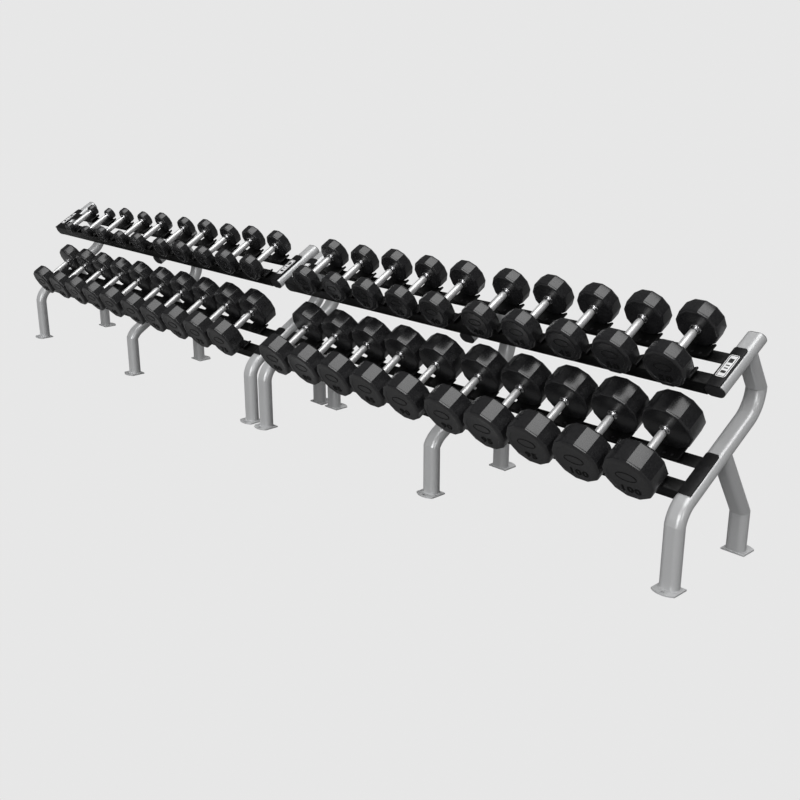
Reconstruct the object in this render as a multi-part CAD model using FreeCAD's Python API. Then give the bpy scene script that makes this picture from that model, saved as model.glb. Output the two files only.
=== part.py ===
import FreeCAD, Part
import math
import os

# A run of free-standing two-tier dumbbell racks, loaded with a full set of dumbbells.
# Millimetres and degrees.  X runs along the racks, Y from front to back, Z up from the floor.
# Each tier is built flat, with x along the rack, y up the slope and z off the rail tops,
# and is then tilted and moved to its place.

# ---- Layout along the racks ----
unit_count = 2
frame_pitch = 1155.0            # an end frame's centre to the middle frame's centre
unit_gap = 25.0                 # floor gap between two racks' foot plates
upper_dumbbell_pitch = 214.3    # between neighbouring dumbbells on one side of the middle frame
lower_dumbbell_pitch = 218.0
middle_pitch = 240.0            # between the two dumbbells astride the middle frame
upper_row_shifts = [84.0, 46.5]     # how far right of the middle frame each rack's row stands
lower_row_shifts = [23.0, 23.0]
half_row_count = 5              # dumbbells on each side of the middle frame

# ---- Frame tube, an oval with half-round sides ----
tube_width = 76.2
tube_depth = 50.8
tube_wall = 3.0

# ---- Side profile of an end frame, along the tube's centre line ----
front_leg_y = 41.0              # from the front plate's corners
front_leg_height = 239.0        # floor to the mitre where the main tube sits on an end frame's leg
end_leg_turn = 10.0             # how far the tube turns back at that mitre
middle_leg_turn = 25.0          # the same on the lower middle frame, whose leg is shorter
lower_bend_radius = 110.0
lower_tilt = 31.0               # slope of the main tube and of the lower tier
slope_spare = 254.0             # straight slope beyond the length one grip takes up
upper_bend_radius = 130.0
post_lean = 34.4                # forward lean of the short post from upright
post_length = 151.7             # from the mitre to the underside of the arm
upper_tilt = 30.0               # slope of the arm and of the upper tier
arm_front_setback = 7.3         # the arm tube stops this short of the front rail's outer edge
arm_rear_reach = 71.5
cope_relief = 1.0               # a coped end stops this short of the other tube's axis
rear_leg_y = 476.0
rear_stub_height = 164.0
rear_strut_lean = 33.6          # forward lean of the rear strut from upright

# ---- Foot plates ----
foot_plate_width = 95.0
foot_plate_depth = 74.0
foot_plate_bow = 17.0           # how far the outer edge bows out past its corners
foot_plate_thickness = 6.4
rear_plate_front_y = 450.0
anchor_hole_radius = 6.5

# ---- Caps in the ends of the arms ----
front_cap_thickness = 4.0
rear_cap_thickness = 3.0
cap_spigot_depth = 12.0
cap_spigot_clearance = 0.3

# ---- Shelf rails, angle section, and the end plates they are welded to ----
rail_flange = 50.8
rail_leg = 50.8
rail_thickness = 5.0
upper_rail_cover = 6.8          # how far a rail's outer edge reaches under the heads
lower_rail_cover = 11.3
lower_row_reach = 88.0          # from the start of the slope up to the middle of the lower tier
upper_row_reach = 136.0         # from the post's axis down to the middle of the upper tier
end_plate_width = 50.8
end_plate_thickness = 6.0
end_plate_corner = 10.0
upper_plate_tail = 38.0         # how far an end plate runs up past the rear rail
lower_plate_tail = 28.0

# ---- Name badge blanks on the upper end plates ----
badge_width = 37.0
badge_length = 110.0
badge_thickness = 1.0
badge_corner = 8.0
badge_offset = 21.0             # up the slope from the middle of the tier

# ---- Saddles ----
saddle_floor = 10.0             # floor thickness under a head
saddle_floor_margin = 1.0       # floor half-width past the widest head's flat
saddle_half_width = 55.0
saddle_wing_angle = 25.0
saddle_wall = 9.0
saddle_base_half_width = 34.0
saddle_inset = 2.0              # from the rail's inner edge
saddle_overhang = 10.0          # past the rail's outer edge
saddle_edge_round = 3.5

# ---- Saddle screws and nuts ----
screw_radius = 3.0
screw_hole_clearance = 0.3
screw_head_radius = 5.5
screw_head_height = 3.0
screw_recess_clearance = 0.5
screw_spread = 16.0             # half the distance between the two screws of a saddle
screw_setback = 14.0            # from the saddle's inner end
nut_flats = 10.0
nut_height = 5.0
screw_tail = 2.0

# ---- Dumbbells: pounds to millimetres across the flats of a twelve-sided head ----
head_flats = {5: 65.0, 10: 90.0, 15: 107.0, 20: 117.0, 25: 129.0, 30: 137.0, 35: 144.0, 40: 150.0, 45: 155.0,
              50: 160.0, 55: 170.0, 60: 175.0, 65: 179.0, 70: 182.0, 75: 185.0, 80: 188.0, 85: 191.0, 90: 193.0,
              95: 195.0, 100: 197.0}
head_sides = 12
head_width_base = 36.0          # width of a weightless head
head_width_per_pound = 0.67
head_chamfer = 9.0
head_chamfer_share = 0.16       # of the half-flats, which caps the chamfer on the smallest heads
grip_span = 145.0               # between the two heads' inner faces
grip_radius = 14.5
grip_bulge = 1.0                # extra radius in the middle of the grip
neck_radius = 12.0
neck_length = 16.0
spigot_share = 0.45             # how far the handle runs into a head, as a share of its width
collar_radius = 21.0
collar_thickness = 5.0

# ---- Values that follow from the sizes above ----
unit_pitch = 2 * frame_pitch + foot_plate_width + unit_gap
side_radius = tube_depth / 2
slope_length = slope_spare + grip_span
rail_drop = rail_leg - end_plate_thickness      # the middle frame stands this much lower, square to a tier
flat_ratio = math.tan(math.pi / head_sides)
widest_flat = max(head_flats.values()) / 2 * flat_ratio
saddle_floor_half = widest_flat + saddle_floor_margin
upper_rail_gap = grip_span + 2 * (upper_rail_cover - rail_flange)      # clear gap between a tier's two rails
lower_rail_gap = grip_span + 2 * (lower_rail_cover - rail_flange)
arm_front_reach = upper_row_reach + grip_span / 2 + upper_rail_cover - arm_front_setback


def vec(x, y, z):
    return FreeCAD.Vector(x, y, z)


def tilted(angle):
    """Unit vectors up a slope and square to it, in the Y-Z plane."""
    a = math.radians(angle)
    return vec(0, math.cos(a), math.sin(a)), vec(0, -math.sin(a), math.cos(a))


def leaning(angle):
    """Unit vector that leans forward from upright."""
    a = math.radians(angle)
    return vec(0, -math.sin(a), math.cos(a))


# ---- Side profile points, for an end frame and for the lower middle frame ----
slope_along, slope_up = tilted(lower_tilt)
arm_along, arm_up = tilted(upper_tilt)
post_axis = leaning(post_lean)
strut_axis = leaning(rear_strut_lean)
upright = vec(0, 0, 1)


def lower_bend(turn, level_bend, drop):
    """Leg mitre, bend centre and slope start; a lowered frame's bend is set to meet its lowered slope."""
    p = {"turn": turn, "start": leaning(-turn)}
    outward = vec(0, -p["start"].z, p["start"].y)
    if level_bend is None:
        p["leg_top"] = vec(0, front_leg_y, front_leg_height)
        p["lower_centre"] = p["leg_top"] - outward * lower_bend_radius
        p["slope_start"] = p["lower_centre"] + slope_up * lower_bend_radius
        return p
    start_y = front_leg_y - outward.y * lower_bend_radius + slope_up.y * lower_bend_radius
    level_start = level_bend["slope_start"]
    start_z = level_start.z + (start_y - level_start.y) * slope_along.z / slope_along.y - drop / slope_up.z
    p["slope_start"] = vec(0, start_y, start_z)
    p["lower_centre"] = p["slope_start"] - slope_up * lower_bend_radius
    p["leg_top"] = p["lower_centre"] + outward * lower_bend_radius
    return p


def frame_profile(drop, turn, level_bend=None):
    """Centre-line points of a frame that stands the given distance lower, square to the tiers."""
    lower_drop = vec(0, 0, drop / math.cos(math.radians(lower_tilt)))
    upper_drop = vec(0, 0, drop / math.cos(math.radians(upper_tilt)))
    p = lower_bend(turn, level_bend, drop)
    level_start = (level_bend or p)["slope_start"]
    p["slope_end"] = level_start + slope_along * slope_length - lower_drop
    p["upper_centre"] = p["slope_end"] + slope_up * upper_bend_radius
    p["mitre"] = p["upper_centre"] + vec(0, upper_bend_radius, 0)
    level_mitre = p["mitre"] + lower_drop
    p["arm_joint"] = level_mitre + post_axis * post_length + arm_up * side_radius - upper_drop
    slid = drop * math.tan(math.radians(upper_tilt))
    p["arm_front"] = p["arm_joint"] - arm_along * (arm_front_reach - slid)
    p["arm_rear"] = p["arm_joint"] + arm_along * (arm_rear_reach + slid)
    return p


end_profile = frame_profile(0.0, end_leg_turn)
middle_profile = frame_profile(rail_drop, middle_leg_turn, end_profile)


# ---- Oval tube ----
def oval_face(centre, depth_axis, width, depth):
    """Flat oval with half-round sides, width along X and depth along the given direction."""
    r = depth / 2
    flat = width / 2 - r
    d = depth_axis * r
    right = centre + vec(flat, 0, 0)
    left = centre - vec(flat, 0, 0)
    edges = [
        Part.LineSegment(left + d, right + d).toShape(),
        Part.Arc(right + d, right + vec(r, 0, 0), right - d).toShape(),
        Part.LineSegment(right - d, left - d).toShape(),
        Part.Arc(left - d, left - vec(r, 0, 0), left + d).toShape(),
    ]
    return Part.Face(Part.Wire(edges))


def tube_face(centre, depth_axis, solid):
    outer = oval_face(centre, depth_axis, tube_width, tube_depth)
    if solid:
        return outer
    bore = oval_face(centre, depth_axis, tube_width - 2 * tube_wall, tube_depth - 2 * tube_wall)
    return outer.cut(bore)


def square_to(axis):
    return vec(0, -axis.z, axis.y)


def straight_tube(start, end, solid=False):
    run = end - start
    axis = vec(run.x, run.y, run.z).normalize()
    return tube_face(start, square_to(axis), solid).extrude(run)


def trimmed(shape, point, normal):
    """What is left of a shape on the back side of a plane."""
    size = 3000.0
    block = Part.makeBox(size, size, size, vec(-size / 2, -size / 2, 0))
    block.Placement = FreeCAD.Placement(point, FreeCAD.Rotation(vec(0, 0, 1), normal))
    return biggest(shape.cut(block))


def biggest(shape):
    return max(shape.Solids, key=lambda s: s.Volume)


def main_tube(p, solid=False):
    """Lower bend, slope and upper bend in one length of tube, mitred at both ends."""
    pieces = [straight_tube(p["leg_top"] - p["start"] * tube_depth, p["leg_top"], solid)]
    lower = tube_face(p["leg_top"], square_to(p["start"]), solid)
    pieces.append(lower.revolve(p["lower_centre"], vec(1, 0, 0), -(90 - lower_tilt - p["turn"])))
    pieces.append(straight_tube(p["slope_start"], p["slope_end"], solid))
    upper = tube_face(p["slope_end"], slope_up, solid)
    pieces.append(upper.revolve(p["upper_centre"], vec(1, 0, 0), 90 - lower_tilt))
    pieces.append(straight_tube(p["mitre"], p["mitre"] + upright * tube_depth, solid))
    tube = pieces[0].fuse(pieces[1:]).removeSplitter()
    tube = trimmed(tube, p["mitre"], (upright + post_axis).normalize())
    return trimmed(tube, p["leg_top"], (upright + p["start"]).normalize() * -1)


def front_leg(p):
    """Upright tube from the front foot plate up to the main tube's lower mitre."""
    tube = straight_tube(vec(0, front_leg_y, foot_plate_thickness), p["leg_top"] + upright * tube_depth)
    return trimmed(tube, p["leg_top"], (upright + p["start"]).normalize())


def arm_tube(p, solid=False):
    return straight_tube(p["arm_front"], p["arm_rear"], solid)


def arm_post(p):
    """Short leaning tube from the main tube's mitre up to the underside of the arm."""
    top = p["arm_joint"] - post_axis * (cope_relief / post_axis.dot(arm_up))
    tube = straight_tube(p["mitre"] - post_axis * tube_depth, top)
    back = (upright + post_axis).normalize() * -1
    return biggest(trimmed(tube, p["mitre"], back).cut(arm_tube(p, solid=True)))


def rear_corner():
    return vec(0, rear_leg_y, rear_stub_height)


def rear_strut(p):
    """Leaning tube from the rear stub's mitre up to the underside of the slope."""
    corner = rear_corner()
    to_slope = ((p["slope_start"] - corner).dot(slope_up) - cope_relief) / strut_axis.dot(slope_up)
    tube = straight_tube(corner - strut_axis * tube_depth, corner + strut_axis * to_slope)
    tube = trimmed(tube, corner, (upright + strut_axis).normalize() * -1)
    return biggest(tube.cut(straight_tube(p["slope_start"], p["slope_end"], solid=True)))


def rear_stub():
    corner = rear_corner()
    foot = vec(0, rear_leg_y, foot_plate_thickness)
    tube = straight_tube(foot, corner + upright * tube_depth)
    return trimmed(tube, corner, (upright + strut_axis).normalize())


def foot_plate(corner_y, bow_y, hole_y, back_y):
    """Plate with one bowed edge and one anchor hole."""
    half = foot_plate_width / 2
    edges = [
        Part.Arc(vec(-half, corner_y, 0), vec(0, bow_y, 0), vec(half, corner_y, 0)).toShape(),
        Part.LineSegment(vec(half, corner_y, 0), vec(half, back_y, 0)).toShape(),
        Part.LineSegment(vec(half, back_y, 0), vec(-half, back_y, 0)).toShape(),
        Part.LineSegment(vec(-half, back_y, 0), vec(-half, corner_y, 0)).toShape(),
    ]
    plate = Part.Face(Part.Wire(edges)).extrude(vec(0, 0, foot_plate_thickness))
    hole = Part.makeCylinder(anchor_hole_radius, foot_plate_thickness, vec(0, hole_y, 0))
    return plate.cut(hole)


def foot_plates():
    front_hole = (front_leg_y - side_radius - foot_plate_bow) / 2
    rear_edge = rear_plate_front_y + foot_plate_depth
    rear_hole = (rear_leg_y + side_radius + rear_edge + foot_plate_bow) / 2
    front = foot_plate(0, -foot_plate_bow, front_hole, foot_plate_depth)
    rear = foot_plate(rear_edge, rear_edge + foot_plate_bow, rear_hole, rear_plate_front_y)
    return [front, rear]


def arm_cap(end, outward, thickness):
    """Moulded cap on a tube end, with a spigot that plugs the bore."""
    flange = oval_face(end, arm_up, tube_width, tube_depth).extrude(outward * thickness)
    shrink = 2 * (tube_wall + cap_spigot_clearance)
    plug = oval_face(end, arm_up, tube_width - shrink, tube_depth - shrink)
    return flange.fuse(plug.extrude(outward * -cap_spigot_depth)).removeSplitter()


def arm_caps(p):
    front = arm_cap(p["arm_front"], arm_along * -1, front_cap_thickness)
    return [front, arm_cap(p["arm_rear"], arm_along, rear_cap_thickness)]


# ---- Tiers ----
rail_top_lift = side_radius + end_plate_thickness


def tier_place(origin, angle, x):
    return FreeCAD.Placement(origin + vec(x, 0, 0), FreeCAD.Rotation(vec(1, 0, 0), angle))


lower_origin = end_profile["slope_start"] + slope_along * lower_row_reach + slope_up * rail_top_lift
upper_origin = end_profile["arm_joint"] - arm_along * upper_row_reach + arm_up * rail_top_lift
tiers = {
    "upper": {"origin": upper_origin, "tilt": upper_tilt, "gap": upper_rail_gap, "tail": upper_plate_tail,
              "pitch": upper_dumbbell_pitch, "shifts": upper_row_shifts},
    "lower": {"origin": lower_origin, "tilt": lower_tilt, "gap": lower_rail_gap, "tail": lower_plate_tail,
              "pitch": lower_dumbbell_pitch, "shifts": lower_row_shifts},
}


def placed(shape, tier, x):
    copy = shape.copy()
    copy.Placement = tier_place(tier["origin"], tier["tilt"], x)
    return copy


def row_places(tier, rack):
    """X of each dumbbell in a row, from the rack's middle frame."""
    shift = tier["shifts"][min(rack, len(tier["shifts"]) - 1)]
    places = []
    for side in (-1, 1):
        for step in range(half_row_count):
            places.append(shift + side * (middle_pitch / 2 + step * tier["pitch"]))
    return sorted(places)


def screw_places(tier, rack):
    inner = tier["gap"] / 2 + saddle_inset + screw_setback
    return [(x + dx, inner) for x in row_places(tier, rack) for dx in (-screw_spread, screw_spread)]


def rail(tier, side, rack):
    """Angle-section rail, coped round the end tubes; side is 1 for the rear rail and -1 for the front."""
    inner = tier["gap"] / 2
    outer = inner + rail_flange
    reach = frame_pitch - end_plate_width / 2
    flange = Part.makeBox(2 * reach, rail_flange, rail_thickness, vec(-reach, inner, -rail_thickness))
    leg_place = vec(-reach, outer - rail_thickness, -rail_leg)
    leg = Part.makeBox(2 * reach, rail_thickness, rail_leg, leg_place)
    shape = flange.fuse(leg).removeSplitter()
    for end in (-frame_pitch, frame_pitch):
        low = vec(end, inner - tube_depth, -rail_top_lift)
        tube = oval_face(low, vec(0, 0, 1), tube_width, tube_depth).extrude(vec(0, rail_flange + 2 * tube_depth, 0))
        shape = biggest(shape.cut(tube))
    for x, y in screw_places(tier, rack):
        hole = Part.makeCylinder(screw_radius + screw_hole_clearance, rail_thickness, vec(x, y, -rail_thickness))
        shape = shape.cut(hole)
    return shape if side > 0 else mirrored(shape)


def mirrored(shape):
    return shape.mirror(vec(0, 0, 0), vec(0, 1, 0))


def rounded_bar(half_width, low, high, radius, bottom, thickness, round_low):
    """Flat bar with its high-end corners rounded, and its low-end ones too if asked."""
    bar = Part.makeBox(2 * half_width, high - low, thickness, vec(-half_width, low, bottom))
    corners = []
    for edge in bar.Edges:
        a, b = edge.Vertexes[0].Point, edge.Vertexes[1].Point
        upright_edge = abs(a.x - b.x) < 1e-6 and abs(a.y - b.y) < 1e-6
        if upright_edge and (round_low or abs(a.y - high) < 1e-6):
            corners.append(edge)
    return bar.makeFillet(radius, corners)


def end_plate(tier):
    outer = tier["gap"] / 2 + rail_flange
    return rounded_bar(end_plate_width / 2, -outer, outer + tier["tail"], end_plate_corner,
                       -end_plate_thickness, end_plate_thickness, False)


def badge():
    low = badge_offset - badge_length / 2
    return rounded_bar(badge_width / 2, low, low + badge_length, badge_corner, 0, badge_thickness, True)


def saddle(tier):
    """Moulded cradle: a flat floor, two wings that rise to lips, and two recessed screw holes."""
    wing = math.tan(math.radians(saddle_wing_angle))
    lip = saddle_floor + (saddle_half_width - saddle_floor_half) * wing
    outline = [
        (-saddle_base_half_width, 0), (saddle_base_half_width, 0),
        (saddle_half_width, lip - saddle_wall), (saddle_half_width, lip),
        (saddle_floor_half, saddle_floor), (-saddle_floor_half, saddle_floor),
        (-saddle_half_width, lip), (-saddle_half_width, lip - saddle_wall),
    ]
    low = tier["gap"] / 2 + saddle_inset
    length = rail_flange - saddle_inset + saddle_overhang
    points = [vec(x, low, z) for x, z in outline]
    body = Part.Face(Part.makePolygon(points + points[:1])).extrude(vec(0, length, 0))
    lips = [e for e in body.Edges if along_y(e) and abs(e.Vertexes[0].Point.x) > saddle_half_width - 1e-6]
    body = body.makeFillet(saddle_edge_round, lips)
    for dx in (-screw_spread, screw_spread):
        spot = vec(dx, low + screw_setback, 0)
        body = body.cut(Part.makeCylinder(screw_radius + screw_hole_clearance, saddle_floor, spot))
        recess = Part.makeCylinder(screw_head_radius + screw_recess_clearance, saddle_floor, spot + recess_lift())
        body = body.cut(recess)
    return body


def along_y(edge):
    a, b = edge.Vertexes[0].Point, edge.Vertexes[-1].Point
    return abs(a.y - b.y) > 1e-6 and abs(a.x - b.x) < 1e-6 and abs(a.z - b.z) < 1e-6


def recess_lift():
    return vec(0, 0, saddle_floor - screw_head_height)


def screw_and_nut(x, y):
    """Button-head screw down through a saddle and a rail, and its nut under the rail."""
    seat = saddle_floor - screw_head_height
    tip = -(rail_thickness + nut_height + screw_tail)
    shank = Part.makeCylinder(screw_radius, seat - tip, vec(x, y, tip))
    head = Part.makeCylinder(screw_head_radius, screw_head_height, vec(x, y, seat))
    nut_place = vec(x, y, -rail_thickness - nut_height)
    corner = nut_flats / 2 / math.cos(math.radians(30))
    points = [nut_place + vec(corner * math.cos(a), corner * math.sin(a), 0)
              for a in [math.radians(60 * k) for k in range(6)]]
    nut = Part.Face(Part.makePolygon(points + points[:1])).extrude(vec(0, 0, nut_height))
    nut = nut.cut(Part.makeCylinder(screw_radius, nut_height, nut_place))
    return [shank.fuse(head).removeSplitter(), nut]


# ---- Dumbbells, built along y with the middle of the grip at the origin ----
def head_width(pounds):
    return head_width_base + head_width_per_pound * pounds


def polygon_at(y, half_flats):
    corner = half_flats / math.cos(math.pi / head_sides)
    turns = [math.pi * (2 * k + 1) / head_sides for k in range(head_sides)]
    points = [vec(corner * math.sin(a), y, -corner * math.cos(a)) for a in turns]
    return Part.makePolygon(points + points[:1])


def dumbbell_head(pounds):
    half = head_flats[pounds] / 2
    width = head_width(pounds)
    chamfer = min(head_chamfer, half * head_chamfer_share)
    inner = grip_span / 2
    rings = [(0, half - chamfer), (chamfer, half), (width - chamfer, half), (width, half - chamfer)]
    head = Part.makeLoft([polygon_at(inner + y, size) for y, size in rings], True, True)
    bore = Part.makeCylinder(neck_radius, width * spigot_share, vec(0, inner, 0), vec(0, 1, 0))
    return head.cut(bore)


def dumbbell_handle(pounds):
    """Turned bar: barrelled grip, slimmer necks and spigots that sit in the heads."""
    half = grip_span / 2
    grip = half - neck_length
    reach = half + head_width(pounds) * spigot_share
    middle = vec(grip_radius + grip_bulge, 0, 0)
    outline = [
        Part.LineSegment(vec(0, -reach, 0), vec(neck_radius, -reach, 0)).toShape(),
        Part.LineSegment(vec(neck_radius, -reach, 0), vec(neck_radius, -grip, 0)).toShape(),
        Part.LineSegment(vec(neck_radius, -grip, 0), vec(grip_radius, -grip, 0)).toShape(),
        Part.Arc(vec(grip_radius, -grip, 0), middle, vec(grip_radius, grip, 0)).toShape(),
        Part.LineSegment(vec(grip_radius, grip, 0), vec(neck_radius, grip, 0)).toShape(),
        Part.LineSegment(vec(neck_radius, grip, 0), vec(neck_radius, reach, 0)).toShape(),
        Part.LineSegment(vec(neck_radius, reach, 0), vec(0, reach, 0)).toShape(),
        Part.LineSegment(vec(0, reach, 0), vec(0, -reach, 0)).toShape(),
    ]
    return Part.Face(Part.Wire(outline)).revolve(vec(0, 0, 0), vec(0, 1, 0), 360)


def collar():
    start = grip_span / 2 - collar_thickness
    ring = Part.makeCylinder(collar_radius, collar_thickness, vec(0, start, 0), vec(0, 1, 0))
    return ring.cut(Part.makeCylinder(neck_radius, collar_thickness, vec(0, start, 0), vec(0, 1, 0)))


def dumbbell(pounds):
    """Two heads, the handle and two collars, standing on saddle floors."""
    head = dumbbell_head(pounds)
    ring = collar()
    pieces = [head, mirrored(head), dumbbell_handle(pounds), ring, mirrored(ring)]
    lift = vec(0, 0, saddle_floor + head_flats[pounds] / 2)
    for piece in pieces:
        piece.translate(lift)
    return pieces


# ---- Putting the racks together ----
nodes = {}


def add(name, shapes, x=0.0):
    for shape in shapes:
        copy = shape.copy()
        copy.translate(vec(x, 0, 0))
        nodes.setdefault(name, []).append(copy)


def add_frames(unit_x):
    for place, offset, profile in (("left_end", -frame_pitch, end_profile), ("middle", 0.0, middle_profile),
                                   ("right_end", frame_pitch, end_profile)):
        x = unit_x + offset
        add("%s_main_tubes" % place, [main_tube(profile)], x)
        add("front_legs", [front_leg(profile)], x)
        add("arm_posts", [arm_post(profile)], x)
        add("arm_tubes", [arm_tube(profile)], x)
        add("arm_caps", arm_caps(profile), x)
        add("rear_struts", [rear_strut(profile)], x)
        add("rear_stubs", [rear_stub()], x)
        add("foot_plates", foot_plates(), x)


def add_tier(tier_name, rack, unit_x):
    tier = tiers[tier_name]
    cradle = saddle(tier)
    for side, rail_name in ((1, "rear"), (-1, "front")):
        add("%s_%s_rails" % (tier_name, rail_name), [placed(rail(tier, side, rack), tier, unit_x)])
    for offset in (-frame_pitch, frame_pitch):
        add("shelf_end_plates", [placed(end_plate(tier), tier, unit_x + offset)])
        if tier_name == "upper":
            add("badge_plates", [placed(badge(), tier, unit_x + offset)])
    for x in row_places(tier, rack):
        add("saddles", [placed(cradle, tier, unit_x + x), placed(mirrored(cradle), tier, unit_x + x)])
    for x, y in screw_places(tier, rack):
        for rail_side in (-1, 1):
            pieces = screw_and_nut(x, rail_side * y)
            add("saddle_screws_and_nuts", [placed(piece, tier, unit_x) for piece in pieces])


def add_dumbbells(tier_name, rack, unit_x):
    """Pairs rise by one step along the racks; the upper tier carries the lighter half of the set."""
    tier = tiers[tier_name]
    weights = sorted(head_flats)
    row = row_places(tier, rack)
    per_tier = len(row) * unit_count // 2
    shelf = weights[:per_tier] if tier_name == "upper" else weights[-per_tier:]
    for spot, x in enumerate(row):
        place = rack * len(row) + spot
        pounds = shelf[min(place // 2, len(shelf) - 1)]
        name = "dumbbell_%03d_lb_%s" % (pounds, "a" if place % 2 == 0 else "b")
        add(name, [placed_piece(piece, tier, unit_x + x) for piece in dumbbell(pounds)])


def placed_piece(piece, tier, x):
    copy = piece.copy()
    copy.Placement = tier_place(tier["origin"], tier["tilt"], x).multiply(piece.Placement)
    return copy


for rack in range(unit_count):
    unit_x = (rack - (unit_count - 1) / 2) * unit_pitch
    add_frames(unit_x)
    for tier_name in tiers:
        add_tier(tier_name, rack, unit_x)
        add_dumbbells(tier_name, rack, unit_x)

# The origin is on the floor, under the middle of the whole run's bounding box.
whole = Part.makeCompound([s for shapes in nodes.values() for s in shapes])
box = whole.BoundBox
centre_y = (box.YMin + box.YMax) / 2
print("size %.1f x %.1f x %.1f, depth datum %.2f" % (box.XLength, box.YLength, box.ZLength, centre_y))

os.makedirs("parts", exist_ok=True)
for name, shapes in nodes.items():
    group = shapes[0] if len(shapes) == 1 else Part.makeCompound(shapes)
    group.translate(vec(0, -centre_y, 0))
    group.exportStep("parts/%s.step" % name)
print("%d nodes, %d solids" % (len(nodes), sum(len(s) for s in nodes.values())))
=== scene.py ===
import bpy
import bmesh
import math
from mathutils import Matrix, Vector


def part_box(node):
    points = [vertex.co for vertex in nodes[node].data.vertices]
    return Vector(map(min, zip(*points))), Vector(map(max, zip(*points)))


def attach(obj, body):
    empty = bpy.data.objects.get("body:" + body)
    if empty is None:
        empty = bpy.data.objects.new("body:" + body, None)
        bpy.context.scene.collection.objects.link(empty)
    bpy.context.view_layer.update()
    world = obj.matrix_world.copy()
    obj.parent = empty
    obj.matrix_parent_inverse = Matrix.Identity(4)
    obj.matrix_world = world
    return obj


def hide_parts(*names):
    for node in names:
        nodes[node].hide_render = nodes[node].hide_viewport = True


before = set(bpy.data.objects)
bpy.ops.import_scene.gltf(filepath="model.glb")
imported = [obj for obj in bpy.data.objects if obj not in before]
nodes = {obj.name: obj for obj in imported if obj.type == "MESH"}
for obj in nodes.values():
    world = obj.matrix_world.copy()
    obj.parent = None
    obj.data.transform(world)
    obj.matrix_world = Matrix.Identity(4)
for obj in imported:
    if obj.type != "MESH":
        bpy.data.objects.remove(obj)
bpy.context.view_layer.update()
scene = bpy.context.scene
rackBody = "racks"
print("frame loaded:", len(nodes), "nodes")

samePoint = 1e-6  # corners nearer than this are one corner


def newMaterial(name, colour, roughness, metallic=0.0, **sockets):
    mat = bpy.data.materials.new(name)
    mat.use_nodes = True
    shader = mat.node_tree.nodes["Principled BSDF"]
    shader.inputs["Base Color"].default_value = (*colour, 1)
    shader.inputs["Roughness"].default_value = roughness
    shader.inputs["Metallic"].default_value = metallic
    for key, value in sockets.items():
        shader.inputs[key.replace("_", " ")].default_value = value
    return mat


def noiseNode(mat, scale, detail=3.0, stretch=(1, 1, 1)):
    tree = mat.node_tree
    coords = tree.nodes.new("ShaderNodeTexCoord")
    mapping = tree.nodes.new("ShaderNodeMapping")
    mapping.inputs["Scale"].default_value = stretch
    noise = tree.nodes.new("ShaderNodeTexNoise")
    noise.inputs["Scale"].default_value = scale
    noise.inputs["Detail"].default_value = detail
    tree.links.new(coords.outputs["Object"], mapping.inputs["Vector"])
    tree.links.new(mapping.outputs["Vector"], noise.inputs["Vector"])
    return noise


def varyColour(mat, dark, light, scale, low=0.35, high=0.65, stretch=(1, 1, 1)):
    tree = mat.node_tree
    noise = noiseNode(mat, scale, detail=4.0, stretch=stretch)
    ramp = tree.nodes.new("ShaderNodeValToRGB")
    ramp.color_ramp.elements[0].position = low
    ramp.color_ramp.elements[0].color = (*dark, 1)
    ramp.color_ramp.elements[1].position = high
    ramp.color_ramp.elements[1].color = (*light, 1)
    tree.links.new(noise.outputs["Fac"], ramp.inputs["Fac"])
    tree.links.new(ramp.outputs["Color"], tree.nodes["Principled BSDF"].inputs["Base Color"])


def varyRoughness(mat, low, high, scale):
    tree = mat.node_tree
    noise = noiseNode(mat, scale)
    spread = tree.nodes.new("ShaderNodeMapRange")
    spread.inputs["From Min"].default_value = 0.3
    spread.inputs["From Max"].default_value = 0.7
    spread.inputs["To Min"].default_value = low
    spread.inputs["To Max"].default_value = high
    tree.links.new(noise.outputs["Fac"], spread.inputs["Value"])
    tree.links.new(spread.outputs["Result"], tree.nodes["Principled BSDF"].inputs["Roughness"])


def addBump(mat, scale, depth, strength):
    tree = mat.node_tree
    noise = noiseNode(mat, scale)
    bump = tree.nodes.new("ShaderNodeBump")
    bump.inputs["Strength"].default_value = strength
    bump.inputs["Distance"].default_value = depth
    tree.links.new(noise.outputs["Fac"], bump.inputs["Height"])
    tree.links.new(bump.outputs["Normal"], tree.nodes["Principled BSDF"].inputs["Normal"])


silverPaint = newMaterial("silverPaint", (0.56, 0.565, 0.57), roughness=0.32, metallic=0.25)
varyColour(silverPaint, (0.52, 0.525, 0.53), (0.60, 0.605, 0.61), scale=900)
varyRoughness(silverPaint, low=0.28, high=0.36, scale=40)
addBump(silverPaint, scale=1400, depth=0.00012, strength=0.25)

railPaint = newMaterial("railPaint", (0.004, 0.004, 0.004), roughness=0.45, Specular_IOR_Level=0.2)
varyColour(railPaint, (0.003, 0.003, 0.003), (0.006, 0.006, 0.006), scale=60)
varyRoughness(railPaint, low=0.34, high=0.48, scale=90)
addBump(railPaint, scale=1100, depth=0.00015, strength=0.3)

platePaint = newMaterial("platePaint", (0.008, 0.008, 0.008), roughness=0.42, Specular_IOR_Level=0.25)
varyColour(platePaint, (0.006, 0.006, 0.006), (0.010, 0.010, 0.011), scale=80)
varyRoughness(platePaint, low=0.36, high=0.50, scale=70)
addBump(platePaint, scale=1100, depth=0.00015, strength=0.3)

capPlastic = newMaterial("capPlastic", (0.016, 0.016, 0.017), roughness=0.5)
varyColour(capPlastic, (0.013, 0.013, 0.014), (0.020, 0.020, 0.021), scale=300)
addBump(capPlastic, scale=1800, depth=0.0002, strength=0.4)

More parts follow.
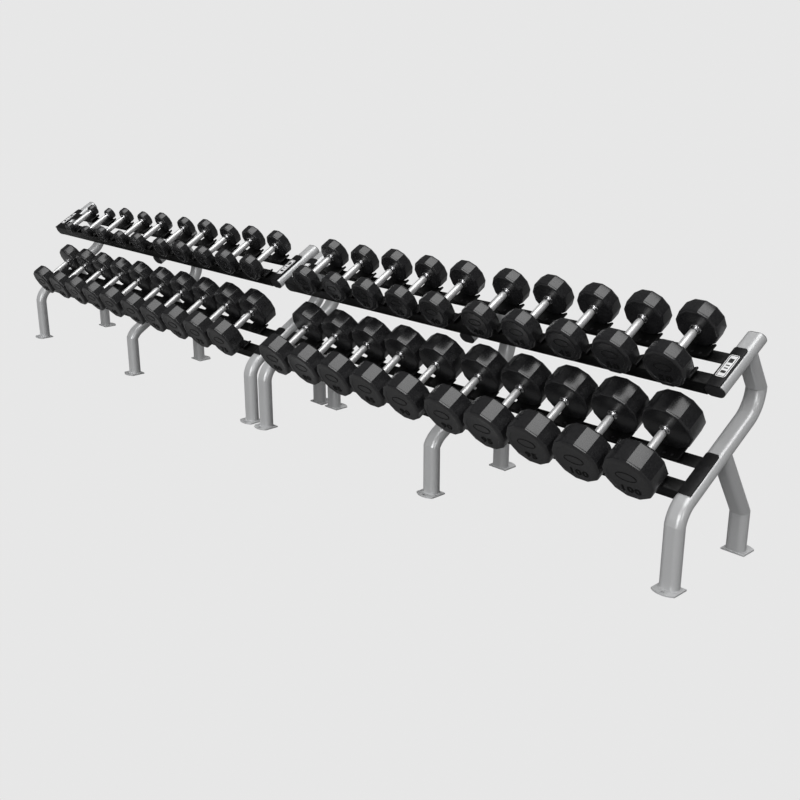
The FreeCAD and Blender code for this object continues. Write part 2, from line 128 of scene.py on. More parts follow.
saddlePlastic = newMaterial("saddlePlastic", (0.005, 0.005, 0.005), roughness=0.46, Specular_IOR_Level=0.25)
varyColour(saddlePlastic, (0.003, 0.003, 0.003), (0.008, 0.008, 0.008), scale=150)
varyRoughness(saddlePlastic, low=0.38, high=0.55, scale=60)
addBump(saddlePlastic, scale=1600, depth=0.0003, strength=0.5)

urethane = newMaterial("urethane", (0.014, 0.014, 0.015), roughness=0.22, Specular_IOR_Level=0.6)
varyColour(urethane, (0.011, 0.011, 0.012), (0.019, 0.019, 0.020), scale=120)
varyRoughness(urethane, low=0.21, high=0.25, scale=35)
addBump(urethane, scale=700, depth=0.00003, strength=0.12)

letterUrethane = newMaterial("letterUrethane", (0.003, 0.003, 0.003), roughness=0.6, Specular_IOR_Level=0.15)
varyColour(letterUrethane, (0.002, 0.002, 0.002), (0.005, 0.005, 0.005), scale=200)

gripSteel = newMaterial("gripSteel", (0.80, 0.80, 0.80), roughness=0.42, metallic=0.55)
varyColour(gripSteel, (0.74, 0.74, 0.74), (0.86, 0.86, 0.86), scale=700)
varyRoughness(gripSteel, low=0.36, high=0.50, scale=200)

brightSteel = newMaterial("brightSteel", (0.78, 0.78, 0.79), roughness=0.14, metallic=1.0)
varyRoughness(brightSteel, low=0.10, high=0.20, scale=300)
addBump(brightSteel, scale=500, depth=0.00005, strength=0.2)

badgeMetal = newMaterial("badgeMetal", (0.90, 0.90, 0.90), roughness=0.36, metallic=0.1)
varyColour(badgeMetal, (0.86, 0.86, 0.87), (0.94, 0.94, 0.94), scale=500, stretch=(1, 6, 1))
varyRoughness(badgeMetal, low=0.30, high=0.42, scale=120)

badgeInk = newMaterial("badgeInk", (0.02, 0.02, 0.02), roughness=0.45)
varyColour(badgeInk, (0.015, 0.015, 0.015), (0.03, 0.03, 0.03), scale=400)

screwSteel = newMaterial("screwSteel", (0.08, 0.08, 0.085), roughness=0.4, metallic=0.8)
varyRoughness(screwSteel, low=0.32, high=0.5, scale=900)
print("materials ready")


def newObject(name, mesh):
    obj = bpy.data.objects.new(name, mesh)
    scene.collection.objects.link(obj)
    return obj


def meshFrom(name, bm, mats):
    bmesh.ops.recalc_face_normals(bm, faces=bm.faces)
    mesh = bpy.data.meshes.new(name)
    bm.to_mesh(mesh)
    bm.free()
    for mat in mats:
        mesh.materials.append(mat)
    return mesh


def applied(obj):
    graph = bpy.context.evaluated_depsgraph_get()
    mesh = bpy.data.meshes.new_from_object(obj.evaluated_get(graph))
    mats = list(obj.data.materials)
    obj.modifiers.clear()
    obj.data = mesh
    if not len(mesh.materials):
        for mat in mats:
            mesh.materials.append(mat)


def addBevel(obj, width, segments=2, angle=35):
    bevel = obj.modifiers.new("edges", "BEVEL")
    bevel.width = width
    bevel.segments = segments
    bevel.limit_method = "ANGLE"
    bevel.angle_limit = math.radians(angle)


def smoothByAngle(mesh, angle):
    for poly in mesh.polygons:
        poly.use_smooth = True
    limit = math.cos(math.radians(angle))
    bm = bmesh.new()
    bm.from_mesh(mesh)
    for edge in bm.edges:
        if len(edge.link_faces) == 2:
            a, b = edge.link_faces
            edge.smooth = a.normal.dot(b.normal) > limit
    bm.to_mesh(mesh)
    bm.free()


def softened(name, node, mat, width, flatAngle=0.5, smoothAngle=30, segments=2):
    mesh = nodes[node].data.copy()
    mesh.materials.clear()
    mesh.materials.append(mat)
    bm = bmesh.new()
    bm.from_mesh(mesh)
    bmesh.ops.remove_doubles(bm, verts=bm.verts, dist=samePoint)
    bmesh.ops.dissolve_limit(bm, angle_limit=math.radians(flatAngle), verts=bm.verts, edges=bm.edges)
    for face in bm.faces:
        face.material_index = 0
    bm.to_mesh(mesh)
    bm.free()
    if "custom_normal" in mesh.attributes:
        mesh.attributes.remove(mesh.attributes["custom_normal"])
    obj = newObject(name, mesh)
    addBevel(obj, width, segments)
    applied(obj)
    smoothByAngle(obj.data, smoothAngle)
    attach(obj, rackBody)
    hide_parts(node)


def newTree(name, sizes):
    tree = bpy.data.node_groups.new(name, "GeometryNodeTree")
    tree.interface.new_socket("Geometry", in_out="INPUT", socket_type="NodeSocketGeometry")
    for label in sizes:
        tree.interface.new_socket(label, in_out="INPUT", socket_type="NodeSocketFloat")
    tree.interface.new_socket("Geometry", in_out="OUTPUT", socket_type="NodeSocketGeometry")
    return tree, tree.nodes.new("NodeGroupInput").outputs


def addNode(tree, kind, inputs, **settings):
    node = tree.nodes.new(kind)
    for key, value in settings.items():
        setattr(node, key, value)
    for key, value in inputs.items():
        if isinstance(value, bpy.types.NodeSocket):
            tree.links.new(value, node.inputs[key])
        else:
            node.inputs[key].default_value = value
    return node.outputs


def calc(tree, operation, a, b=0.0):
    return addNode(tree, "ShaderNodeMath", {0: a, 1: b}, operation=operation)[0]


def vector(tree, x, y, z):
    return addNode(tree, "ShaderNodeCombineXYZ", {0: x, 1: y, 2: z})[0]


def endTree(tree, geometry, mat):
    real = addNode(tree, "GeometryNodeRealizeInstances", {"Geometry": geometry})[0]
    painted = addNode(tree, "GeometryNodeSetMaterial", {"Geometry": real, "Material": mat})[0]
    addNode(tree, "NodeGroupOutput", {0: painted})


# the base mesh goes in, the grown mesh comes out plain
def grown(tree, base, values, mat):
    obj = newObject("grown", base)
    modifier = obj.modifiers.new("grow", "NODES")
    modifier.node_group = tree
    for item in tree.interface.items_tree:
        if item.in_out == "INPUT" and item.name in values:
            modifier[item.identifier] = float(values[item.name])
    graph = bpy.context.evaluated_depsgraph_get()
    mesh = bpy.data.meshes.new_from_object(obj.evaluated_get(graph))
    bpy.data.objects.remove(obj)
    mesh.materials.clear()
    mesh.materials.append(mat)
    return mesh


def pointMesh(points, edges=()):
    mesh = bpy.data.meshes.new("points")
    mesh.from_pydata([tuple(p) for p in points], edges, [])
    return mesh


# the low and high corner of every separate solid in a node
def solidBoxes(node):
    bm = bmesh.new()
    bm.from_mesh(nodes[node].data)
    bmesh.ops.remove_doubles(bm, verts=bm.verts, dist=samePoint)
    seen, boxes = set(), []
    for start in bm.verts:
        if start in seen:
            continue
        seen.add(start)
        stack, found = [start], []
        while stack:
            vert = stack.pop()
            found.append(vert.co.copy())
            for edge in vert.link_edges:
                other = edge.other_vert(vert)
                if other not in seen:
                    seen.add(other)
                    stack.append(other)
        boxes.append((Vector([min(p[k] for p in found) for k in range(3)]),
                      Vector([max(p[k] for p in found) for k in range(3)])))
    bm.free()
    return boxes


# the tubes keep their own shape and take a new finish
tubeNames = ("front_legs", "arm_posts", "arm_tubes", "rear_struts", "rear_stubs")
for nodeName in nodes:
    if nodeName.endswith("main_tubes") or nodeName in tubeNames:
        nodes[nodeName].data.materials.clear()
        nodes[nodeName].data.materials.append(silverPaint)
edgeWidth = {"footPlates": 0.0008, "armCaps": 0.0009, "endPlates": 0.0010, "rails": 0.0012, "saddles": 0.0010,
             "badges": 0.0002}
softened("footPlates", "foot_plates", silverPaint, edgeWidth["footPlates"])
softened("armCaps", "arm_caps", capPlastic, edgeWidth["armCaps"])
softened("endPlates", "shelf_end_plates", platePaint, edgeWidth["endPlates"])

weld = {"tubeWidth": 0.0762, "tubeDepth": 0.0508, "plateTop": 0.0064, "lift": 0.0008, "margin": 0.002,
        "loopSteps": 48, "spacing": 0.0042, "size": 0.0030, "flatten": 0.75, "beadSides": 8, "beadRings": 5}


def ovalLoops(centres, width, depth, steps):
    points, edges = [], []
    radius = depth / 2
    for centre in centres:
        start = len(points)
        for k in range(steps):
            a = 2 * math.pi * k / steps
            shift = math.copysign(width / 2 - radius, math.cos(a))
            x = centre.x + shift + radius * math.cos(a)
            points.append((x, centre.y + radius * math.sin(a), centre.z))
            edges.append((start + k, start + (k + 1) % steps))
    return pointMesh(points, edges)


# beads strung along each loop
tree, size = newTree("weldBeads", ("Spacing", "Size", "Flatten"))
curve = addNode(tree, "GeometryNodeMeshToCurve", {"Mesh": size["Geometry"]})[0]
curve = addNode(tree, "GeometryNodeResampleCurve", {"Curve": curve, "Length": size["Spacing"]}, mode="LENGTH")
bead = addNode(tree, "GeometryNodeMeshUVSphere", {
    "Segments": weld["beadSides"], "Rings": weld["beadRings"], "Radius": size["Size"]})[0]
points = addNode(tree, "GeometryNodeInstanceOnPoints", {
    "Points": curve[0], "Instance": bead, "Scale": vector(tree, 1.0, 1.0, size["Flatten"])})[0]
endTree(tree, points, silverPaint)
legCentres = []
for node in ("front_legs", "rear_stubs"):
    for low, high in solidBoxes(node):
        y = low.y + weld["tubeDepth"] / 2
        if node == "rear_stubs":
            y = high.y - weld["tubeDepth"] / 2
        legCentres.append(Vector(((low.x + high.x) / 2, y, weld["plateTop"] + weld["lift"])))
loops = ovalLoops(legCentres, weld["tubeWidth"] + weld["margin"], weld["tubeDepth"] + weld["margin"],
                  weld["loopSteps"])
beads = newObject("weldBeads", grown(tree, loops, {
    "Spacing": weld["spacing"], "Size": weld["size"], "Flatten": weld["flatten"]}, silverPaint))
smoothByAngle(beads.data, angle=60)
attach(beads, rackBody)
print("frames done")

for railName, pieceName in (("upper_front_rails", "upperFrontRails"), ("upper_rear_rails", "upperRearRails"),
                            ("lower_front_rails", "lowerFrontRails"), ("lower_rear_rails", "lowerRearRails")):
    softened(pieceName, railName, railPaint, edgeWidth["rails"])
softened("saddles", "saddles", saddlePlastic, edgeWidth["saddles"], segments=1)
softened("badges", "badge_plates", badgeMetal, edgeWidth["badges"])
print("rails and saddles done")

# lengths in metres, angles in degrees, shares of the head's or grip's own size
dumbbell = {
    "sides": 12, "widthBase": 0.036, "widthPerPound": 0.00067, "gripSpan": 0.145,
    "chamfer": 0.012, "chamferShare": 0.18, "rimSteps": 4, "dishDepth": 0.0015, "dishShare": 0.88,
    "edge": 0.0022, "edgeSteps": 3, "edgeAngle": 15, "smoothAngle": 32, "merge": 0.00001,
    "gripRadius": 0.0145, "gripBulge": 0.001, "gripSides": 80, "gripSteps": 52,
    "gripEndShare": 0.985, "gripEndStep": 0.0012,
    "knurlDepth": 0.0005, "knurlRound": 20, "knurlPitch": 0.0042, "knurlShare": 0.94,
    "neckRadius": 0.012, "neckLength": 0.016, "neckInGrip": 0.001, "neckInHead": 0.002,
    "collarRadius": 0.021, "collarThickness": 0.005, "collarEdge": 0.0012,
    "letterSize": 0.038, "letterShare": 0.24, "letterHeight": 0.0012, "letterDrop": 0.54,
    "letterStretch": 1.4, "letterWeight": 0.03, "letterSpacing": 1.12, "letterSteps": 3,
    "ovalWidth": 0.42, "ovalHeight": 0.20, "ovalRise": 0.06, "ovalTube": 0.0016,
    "ovalSteps": 40, "ovalSides": 6,
    "lightestLower": 55, "upperTilt": 30.0, "lowerTilt": 31.0,
}


def bridgeRings(bm, rings):
    for a, b in zip(rings, rings[1:]):
        count = len(a)
        for k in range(count):
            bm.faces.new((a[k], a[(k + 1) % count], b[(k + 1) % count], b[k]))


# a many-sided head grown ring by ring from its inner face, with rounded rims and a shallow dish outside
tree, size = newTree("dumbbellHead", ("Sides", "Flats", "Width", "Chamfer", "Dish Share", "Dish Depth"))
half = calc(tree, "MULTIPLY", size["Flats"], 0.5)
corner = calc(tree, "COSINE", calc(tree, "DIVIDE", math.pi, size["Sides"]))
sides = addNode(tree, "FunctionNodeFloatToInt", {0: size["Sides"]})[0]


def insetBy(share):
    return calc(tree, "SUBTRACT", half, calc(tree, "MULTIPLY", size["Chamfer"], share))


def rimStep(inset, rise):
    return (calc(tree, "MULTIPLY", size["Chamfer"], rise), insetBy(inset))


rimSteps = dumbbell["rimSteps"]
rim = []
for k in range(rimSteps + 1):
    turnBy = math.pi * k / (2 * rimSteps)
    rim.append((1 - math.sin(turnBy), 1 - math.cos(turnBy)))
steps = [rimStep(rim[k][0], rim[k][1] - rim[k - 1][1]) for k in range(1, rimSteps + 1)]
middle = calc(tree, "SUBTRACT", size["Width"], calc(tree, "MULTIPLY", size["Chamfer"], 2.0))
steps.append((middle, insetBy(0.0)))
rim = rim[::-1]
steps += [rimStep(rim[k][0], rim[k - 1][1] - rim[k][1]) for k in range(1, rimSteps + 1)]
dish = calc(tree, "MULTIPLY", insetBy(1.0), size["Dish Share"])
steps.append((0.0, dish))
dishDown = calc(tree, "MULTIPLY", size["Dish Depth"], -1.0)
steps.append((dishDown, calc(tree, "SUBTRACT", dish, size["Dish Depth"])))
last = insetBy(1.0)
disc = addNode(tree, "GeometryNodeMeshCircle", {
    "Vertices": sides, "Radius": calc(tree, "DIVIDE", last, corner)}, fill_type="NGON")[0]
mesh, top = disc, True
for depth, reach in steps:
    pulled = addNode(tree, "GeometryNodeExtrudeMesh", {
        "Mesh": mesh, "Selection": top, "Offset Scale": depth, "Individual": False}, mode="FACES")
    mesh, top = pulled["Mesh"], pulled["Top"]
    mesh = addNode(tree, "GeometryNodeScaleElements", {
        "Geometry": mesh, "Selection": top, "Scale": calc(tree, "DIVIDE", reach, last)}, domain="FACE")[0]
    last = reach
back = addNode(tree, "GeometryNodeFlipFaces", {"Mesh": disc})[0]
join = tree.nodes.new("GeometryNodeJoinGeometry")
tree.links.new(mesh, join.inputs[0])
tree.links.new(back, join.inputs[0])
closed = addNode(tree, "GeometryNodeMergeByDistance", {
    "Geometry": join.outputs[0], "Distance": dumbbell["merge"]})[0]
turned = addNode(tree, "GeometryNodeTransform", {
    "Geometry": closed, "Rotation": vector(tree, 0.0, 0.0, calc(tree, "DIVIDE", math.pi, size["Sides"]))})[0]
endTree(tree, turned, urethane)
headTree = tree

# a barrelled bar with a diamond knurl
tree, size = newTree("knurledGrip", ("Radius", "Length", "Bulge", "Depth", "Rows", "Pitch"))
bar = addNode(tree, "GeometryNodeMeshCylinder", {
    "Vertices": dumbbell["gripSides"], "Side Segments": dumbbell["gripSteps"],
    "Radius": size["Radius"], "Depth": size["Length"]}, fill_type="NGON")[0]
spot = addNode(tree, "ShaderNodeSeparateXYZ", {0: addNode(tree, "GeometryNodeInputPosition", {})[0]})
around = calc(tree, "ARCTAN2", spot[1], spot[0])
turn = calc(tree, "MULTIPLY", around, calc(tree, "MULTIPLY", size["Rows"], 0.5))
along = calc(tree, "MULTIPLY", calc(tree, "DIVIDE", spot[2], size["Pitch"]), math.pi)
oneWay = calc(tree, "ABSOLUTE", calc(tree, "SINE", calc(tree, "ADD", turn, along)))
otherWay = calc(tree, "ABSOLUTE", calc(tree, "SINE", calc(tree, "SUBTRACT", turn, along)))
share = calc(tree, "DIVIDE", spot[2], calc(tree, "MULTIPLY", size["Length"], 0.5))
square = calc(tree, "MULTIPLY", share, share)
inside = calc(tree, "LESS_THAN", calc(tree, "ABSOLUTE", share), dumbbell["knurlShare"])
diamonds = calc(tree, "MULTIPLY", oneWay, otherWay)
knurl = calc(tree, "MULTIPLY", diamonds, calc(tree, "MULTIPLY", size["Depth"], inside))
lift = calc(tree, "ADD", calc(tree, "MULTIPLY", size["Bulge"], calc(tree, "SUBTRACT", 1.0, square)), knurl)
atEnd = calc(tree, "GREATER_THAN", square, dumbbell["gripEndShare"])
lift = calc(tree, "SUBTRACT", lift, calc(tree, "MULTIPLY", atEnd, dumbbell["gripEndStep"]))
lift = calc(tree, "DIVIDE", lift, size["Radius"])
shaped = addNode(tree, "GeometryNodeSetPosition", {
    "Geometry": bar, "Offset": vector(tree, calc(tree, "MULTIPLY", spot[0], lift),
                                      calc(tree, "MULTIPLY", spot[1], lift), 0.0)})[0]
laid = addNode(tree, "GeometryNodeTransform", {"Geometry": shaped, "Rotation": (math.pi / 2, 0.0, 0.0)})[0]
endTree(tree, laid, gripSteel)
gripTree = tree


def turnedMesh(name, outline, mat, segments=32):
    bm = bmesh.new()
    rings = []
    for radius, y in outline:
        rings.append([bm.verts.new((radius * math.cos(2 * math.pi * k / segments), y,
                                    radius * math.sin(2 * math.pi * k / segments))) for k in range(segments)])
    bridgeRings(bm, rings)
    bm.faces.new(rings[0])
    bm.faces.new(rings[-1])
    return meshFrom(name, bm, [mat])


def joinedMesh(name, parts, place):
    bm = bmesh.new()
    mats = []
    for mesh, local in parts:
        start = len(bm.faces)
        offset = []
        for mat in mesh.materials:
            if mat not in mats:
                mats.append(mat)
            offset.append(mats.index(mat))
        copy = mesh.copy()
        copy.transform(place @ local)
        bm.from_mesh(copy)
        bm.faces.ensure_lookup_table()
        for face in bm.faces[start:]:
            face.material_index = offset[face.material_index]
        bpy.data.meshes.remove(copy)
    result = bpy.data.meshes.new(name)
    bm.to_mesh(result)
    bm.free()
    for mat in mats:
        result.materials.append(mat)
    return result


def numberMesh(pounds, size):
    curve = bpy.data.curves.new("number", "FONT")
    curve.body = str(pounds)
    curve.size = size
    curve.align_x = "CENTER"
    curve.align_y = "CENTER"
    curve.extrude = dumbbell["letterHeight"]
    curve.offset = size * dumbbell["letterWeight"]
    curve.resolution_u = dumbbell["letterSteps"]
    curve.space_character = dumbbell["letterSpacing"]
    obj = newObject("number", curve)
    graph = bpy.context.evaluated_depsgraph_get()
    mesh = bpy.data.meshes.new_from_object(obj.evaluated_get(graph))
    bpy.data.objects.remove(obj)
    mesh.transform(Matrix.Diagonal((dumbbell["letterStretch"], 1, 1, 1)))
    mesh.materials.clear()
    mesh.materials.append(letterUrethane)
    return mesh


# raised oval ring on a head's outer face
def ovalMesh(width, height, radius):
    bm = bmesh.new()
    rings = []
    steps, sides = dumbbell["ovalSteps"], dumbbell["ovalSides"]
    for k in range(steps):
        a = 2 * math.pi * k / steps
        middle = Vector((width / 2 * math.cos(a), height / 2 * math.sin(a), 0))
        out = Vector((math.cos(a) / width, math.sin(a) / height, 0)).normalized()
        rings.append([bm.verts.new(middle + out * radius * math.cos(b) + Vector((0, 0, radius * math.sin(b))))
                      for b in (2 * math.pi * j / sides for j in range(sides))])
    bridgeRings(bm, rings + rings[:1])
    return meshFrom("oval", bm, [letterUrethane])


def bevelledMesh(mesh, width, segments, angle, smoothAngle):
    obj = newObject("scratch", mesh)
    addBevel(obj, width, segments, angle)
    applied(obj)
    result = obj.data
    bpy.data.objects.remove(obj)
    smoothByAngle(result, smoothAngle)
    return result


d = dumbbell
identity = Matrix.Identity(4)
grip = d["gripSpan"] / 2 - d["neckLength"]
gripMesh = grown(gripTree, pointMesh([(0, 0, 0)]), {
    "Radius": d["gripRadius"], "Length": 2 * grip, "Bulge": d["gripBulge"], "Depth": d["knurlDepth"],
    "Rows": d["knurlRound"], "Pitch": d["knurlPitch"]}, gripSteel)
smoothByAngle(gripMesh, angle=45)
handleParts = [(gripMesh, identity)]
half = d["gripSpan"] / 2
for side in (-1, 1):
    neck = turnedMesh("neck", [
        (d["neckRadius"], side * (grip - d["neckInGrip"])),
        (d["neckRadius"], side * (half + d["neckInHead"]))], brightSteel)
    smoothByAngle(neck, angle=30)
    edge = d["collarEdge"]
    collarLow = half - d["collarThickness"]
    ring = turnedMesh("collar", [
        (d["neckRadius"], side * collarLow), (d["collarRadius"] - edge, side * collarLow),
        (d["collarRadius"], side * (collarLow + edge)), (d["collarRadius"], side * half)], brightSteel)
    smoothByAngle(ring, angle=50)
    handleParts += [(neck, identity), (ring, identity)]

headTurns = {1: Matrix.Rotation(math.radians(-90), 4, "X"), -1: Matrix.Rotation(math.radians(90), 4, "X")}
faceTurns = {-1: Matrix.Rotation(math.radians(90), 4, "X"),
             1: Matrix.Rotation(math.radians(180), 4, "Z") @ Matrix.Rotation(math.radians(90), 4, "X")}
tierRows = {"upper": [], "lower": []}
for nodeName in sorted(n for n in nodes if n.startswith("dumbbell_")):
    pounds = int(nodeName.split("_")[1])
    low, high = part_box(nodeName)
    flats = high.x - low.x
    tier = "lower" if pounds >= d["lightestLower"] else "upper"
    tilt = math.radians(d[tier + "Tilt"])
    centre = (low + high) / 2
    tierRows[tier].append((centre, flats, tilt))
    place = Matrix.Translation(centre) @ Matrix.Rotation(tilt, 4, "X")
    width = d["widthBase"] + d["widthPerPound"] * pounds
    outer = d["gripSpan"] / 2 + width
    head = grown(headTree, pointMesh([(0, 0, 0)]), {
        "Sides": d["sides"], "Flats": flats, "Width": width,
        "Chamfer": min(d["chamfer"], flats / 2 * d["chamferShare"]),
        "Dish Share": d["dishShare"], "Dish Depth": d["dishDepth"]}, urethane)
    head = bevelledMesh(head, d["edge"], d["edgeSteps"], d["edgeAngle"], d["smoothAngle"])
    letters = numberMesh(pounds, min(d["letterSize"], flats * d["letterShare"]))
    oval = ovalMesh(flats * d["ovalWidth"], flats * d["ovalHeight"], d["ovalTube"])
    smoothByAngle(oval, angle=70)
    parts = []
    for side in (-1, 1):
        parts.append((head, Matrix.Translation((0, side * d["gripSpan"] / 2, 0)) @ headTurns[side]))
        drop = -(flats / 2) * d["letterDrop"]
        floorAt = side * (outer - d["dishDepth"])
        parts.append((letters, Matrix.Translation((0, floorAt, drop)) @ faceTurns[side]))
        parts.append((oval, Matrix.Translation((0, floorAt, flats * d["ovalRise"])) @ faceTurns[side]))
    heads = newObject("heads_" + nodeName[9:], joinedMesh("heads", parts, place))
    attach(heads, nodeName)
    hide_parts(nodeName)
    handle = newObject("handle_" + nodeName[9:], joinedMesh("handle", handleParts, place))
    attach(handle, nodeName)
print("dumbbells done")

# heights are measured from the rail's top face
screw = {"headRadius": 0.0055, "headHeight": 0.003, "shank": 0.003, "nutFlats": 0.010, "nutHeight": 0.005,
         "tail": 0.002, "headSides": 16, "shankSides": 10, "nutSides": 6, "floor": 0.010, "rail": 0.005,
         "spread": 0.016, "upperReach": 0.0445, "lowerReach": 0.0490}
tree, size = newTree("saddleScrews", (
    "Tilt", "Head Radius", "Head Height", "Seat", "Shank", "Rail", "Nut Flats", "Nut Height", "Tail"))


def standing(vertices, radius, low, high):
    depth = calc(tree, "SUBTRACT", high, low)
    bar = addNode(tree, "GeometryNodeMeshCylinder", {
        "Vertices": vertices, "Radius": radius, "Depth": depth})[0]
    middle = calc(tree, "MULTIPLY", calc(tree, "ADD", low, high), 0.5)
    return addNode(tree, "GeometryNodeTransform", {
        "Geometry": bar, "Translation": vector(tree, 0.0, 0.0, middle)})[0]


under = calc(tree, "MULTIPLY", size["Rail"], -1.0)
nutLow = calc(tree, "SUBTRACT", under, size["Nut Height"])
tip = calc(tree, "SUBTRACT", nutLow, size["Tail"])
seatTop = calc(tree, "ADD", size["Seat"], size["Head Height"])
join = tree.nodes.new("GeometryNodeJoinGeometry")
nutCorner = calc(tree, "DIVIDE", size["Nut Flats"], 2 * math.cos(math.pi / screw["nutSides"]))
for piece in (standing(screw["headSides"], size["Head Radius"], size["Seat"], seatTop),
              standing(screw["shankSides"], size["Shank"], tip, size["Seat"]),
              standing(screw["nutSides"], nutCorner, nutLow, under)):
    tree.links.new(piece, join.inputs[0])
dots = addNode(tree, "GeometryNodeMeshToPoints", {"Mesh": size["Geometry"]})[0]
screwCopies = addNode(tree, "GeometryNodeInstanceOnPoints", {
    "Points": dots, "Instance": join.outputs[0], "Rotation": vector(tree, size["Tilt"], 0.0, 0.0)})[0]
endTree(tree, screwCopies, screwSteel)
screwParts = []
for tier, row in tierRows.items():
    spots = []
    for centre, flats, tilt in row:
        up = Vector((0, -math.sin(tilt), math.cos(tilt)))
        back = Vector((0, math.cos(tilt), math.sin(tilt)))
        base = centre - up * (screw["floor"] + flats / 2)
        for side in (-1, 1):
            for shift in (-screw["spread"], screw["spread"]):
                spots.append(base + back * side * screw[tier + "Reach"] + Vector((shift, 0, 0)))
    tierScrews = grown(tree, pointMesh(spots), {
        "Tilt": tilt, "Head Radius": screw["headRadius"], "Head Height": screw["headHeight"],
        "Seat": screw["floor"] - screw["headHeight"], "Shank": screw["shank"], "Rail": screw["rail"],
        "Nut Flats": screw["nutFlats"], "Nut Height": screw["nutHeight"], "Tail": screw["tail"]}, screwSteel)
    screwParts.append((tierScrews, identity))
screws = newObject("saddleScrews", joinedMesh("screws", screwParts, identity))
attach(screws, rackBody)
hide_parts("saddle_screws_and_nuts")

mark = {"width": 0.037, "length": 0.110, "border": 0.0022, "inset": 0.003, "rise": 0.0005,
        "thickness": 0.0006,
        "bars": ((-0.030, 0.012, 0.60), (-0.012, 0.005, 0.45), (0.002, 0.005, 0.45), (0.026, 0.020, 0.55))}
markParts = []
w, h = mark["width"] / 2 - mark["inset"], mark["length"] / 2 - mark["inset"]
slabs = [(-w, -h, -w + mark["border"], h), (w - mark["border"], -h, w, h),
         (-w, -h, w, -h + mark["border"]), (-w, h - mark["border"], w, h)]
slabs += [(-w * share, y - tall / 2, w * share, y + tall / 2) for y, tall, share in mark["bars"]]
tilt = math.radians(d["upperTilt"])
for low, high in solidBoxes("badge_plates"):
    place = Matrix.Translation((low + high) / 2) @ Matrix.Rotation(tilt, 4, "X")
    for x0, y0, x1, y1 in slabs:
        bm = bmesh.new()
        middle = Matrix.Translation(((x0 + x1) / 2, (y0 + y1) / 2, mark["rise"]))
        stretch = Matrix.Diagonal((x1 - x0, y1 - y0, mark["thickness"], 1))
        bmesh.ops.create_cube(bm, size=1.0, matrix=middle @ stretch)
        mesh = meshFrom("slab", bm, [badgeInk])
        markParts.append((mesh, place))
marks = newObject("badgeMarks", joinedMesh("marks", markParts, identity))
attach(marks, rackBody)
print("screws and marks done")

# suns point from these directions, with their angular size in degrees
stage = {"floorSize": 60.0, "floorCells": 8, "floorGrey": 0.25, "floorRoughness": 0.9, "backdrop": 0.80,
         "skyHigh": 0.10, "skyLow": 0.025, "skyHighAt": 0.75, "skyLowAt": 0.45,
         "keyStrength": 1.9, "keyAngle": 50.0, "keyFrom": (0.17, -0.12, 0.98),
         "fillStrength": 1.35, "fillAngle": 36.0, "fillFrom": (0.10, -0.93, 0.33),
         "backStrength": 0.55, "backAngle": 70.0, "backFrom": (-0.15, 0.92, 0.35),
         "edgeStrength": 0.30, "edgeAngle": 14.0, "edgeFrom": (0.75, -0.52, 0.35)}
bm = bmesh.new()
cells = stage["floorCells"]
bmesh.ops.create_grid(bm, x_segments=cells, y_segments=cells, size=stage["floorSize"] / 2)
floor = newObject("floor", meshFrom("floor", bm, []))
floorPaint = newMaterial("floorPaint", [stage["floorGrey"]] * 3, stage["floorRoughness"])
tree = floorPaint.node_tree
glow = tree.nodes.new("ShaderNodeEmission")
glow.inputs["Color"].default_value = (1, 1, 1, 1)
glow.inputs["Strength"].default_value = stage["backdrop"]
path = tree.nodes.new("ShaderNodeLightPath")
pick = tree.nodes.new("ShaderNodeMixShader")
tree.links.new(path.outputs["Is Camera Ray"], pick.inputs["Fac"])
tree.links.new(tree.nodes["Principled BSDF"].outputs["BSDF"], pick.inputs[1])
tree.links.new(glow.outputs["Emission"], pick.inputs[2])
tree.links.new(pick.outputs["Shader"], tree.nodes["Material Output"].inputs["Surface"])
floor.data.materials.append(floorPaint)

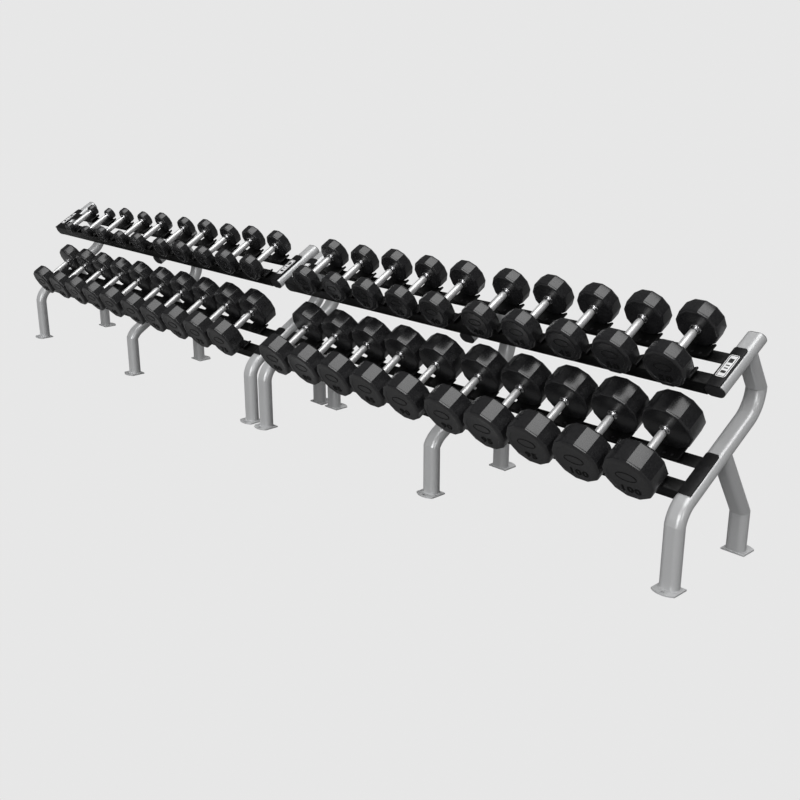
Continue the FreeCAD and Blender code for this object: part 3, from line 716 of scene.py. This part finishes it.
world = bpy.data.worlds.new("studio")
world.use_nodes = True
scene.world = world
tree = world.node_tree
tree.nodes.clear()
coords = tree.nodes.new("ShaderNodeTexCoord")
split = tree.nodes.new("ShaderNodeSeparateXYZ")
ramp = tree.nodes.new("ShaderNodeValToRGB")
ramp.color_ramp.elements[0].position = stage["skyLowAt"]
ramp.color_ramp.elements[0].color = (*[stage["skyLow"]] * 3, 1)
ramp.color_ramp.elements[1].position = stage["skyHighAt"]
ramp.color_ramp.elements[1].color = (*[stage["skyHigh"]] * 3, 1)
remap = tree.nodes.new("ShaderNodeMapRange")
remap.inputs["From Min"].default_value = -1
remap.inputs["From Max"].default_value = 1
background = tree.nodes.new("ShaderNodeBackground")
plain = tree.nodes.new("ShaderNodeBackground")
plain.inputs["Color"].default_value = (1, 1, 1, 1)
plain.inputs["Strength"].default_value = stage["backdrop"]
path = tree.nodes.new("ShaderNodeLightPath")
pick = tree.nodes.new("ShaderNodeMixShader")
output = tree.nodes.new("ShaderNodeOutputWorld")
tree.links.new(coords.outputs["Generated"], split.inputs["Vector"])
tree.links.new(split.outputs["Z"], remap.inputs["Value"])
tree.links.new(remap.outputs["Result"], ramp.inputs["Fac"])
tree.links.new(ramp.outputs["Color"], background.inputs["Color"])
tree.links.new(path.outputs["Is Camera Ray"], pick.inputs["Fac"])
tree.links.new(background.outputs["Background"], pick.inputs[1])
tree.links.new(plain.outputs["Background"], pick.inputs[2])
tree.links.new(pick.outputs["Shader"], output.inputs["Surface"])


def addSun(name, strength, angle, fromDirection):
    light = bpy.data.lights.new(name, "SUN")
    light.energy = strength
    light.angle = math.radians(angle)
    obj = bpy.data.objects.new(name, light)
    obj.rotation_euler = Vector(fromDirection).to_track_quat("Z", "Y").to_euler()
    scene.collection.objects.link(obj)


for sun in ("key", "fill", "back", "edge"):
    addSun(sun + "Light", stage[sun + "Strength"], stage[sun + "Angle"], stage[sun + "From"])

shot = {"place": (4.0918, -3.0611, 1.7270), "down": 17.94, "turn": 46.80, "lens": 47.35, "sensor": 36.0}
cameraData = bpy.data.cameras.new("camera")
cameraData.lens = shot["lens"]
cameraData.sensor_width = shot["sensor"]
camera = bpy.data.objects.new("camera", cameraData)
camera.location = shot["place"]
camera.rotation_euler = (math.radians(90 - shot["down"]), 0, math.radians(shot["turn"]))
scene.collection.objects.link(camera)
scene.camera = camera
scene.view_settings.view_transform = "Standard"
print("stage done")
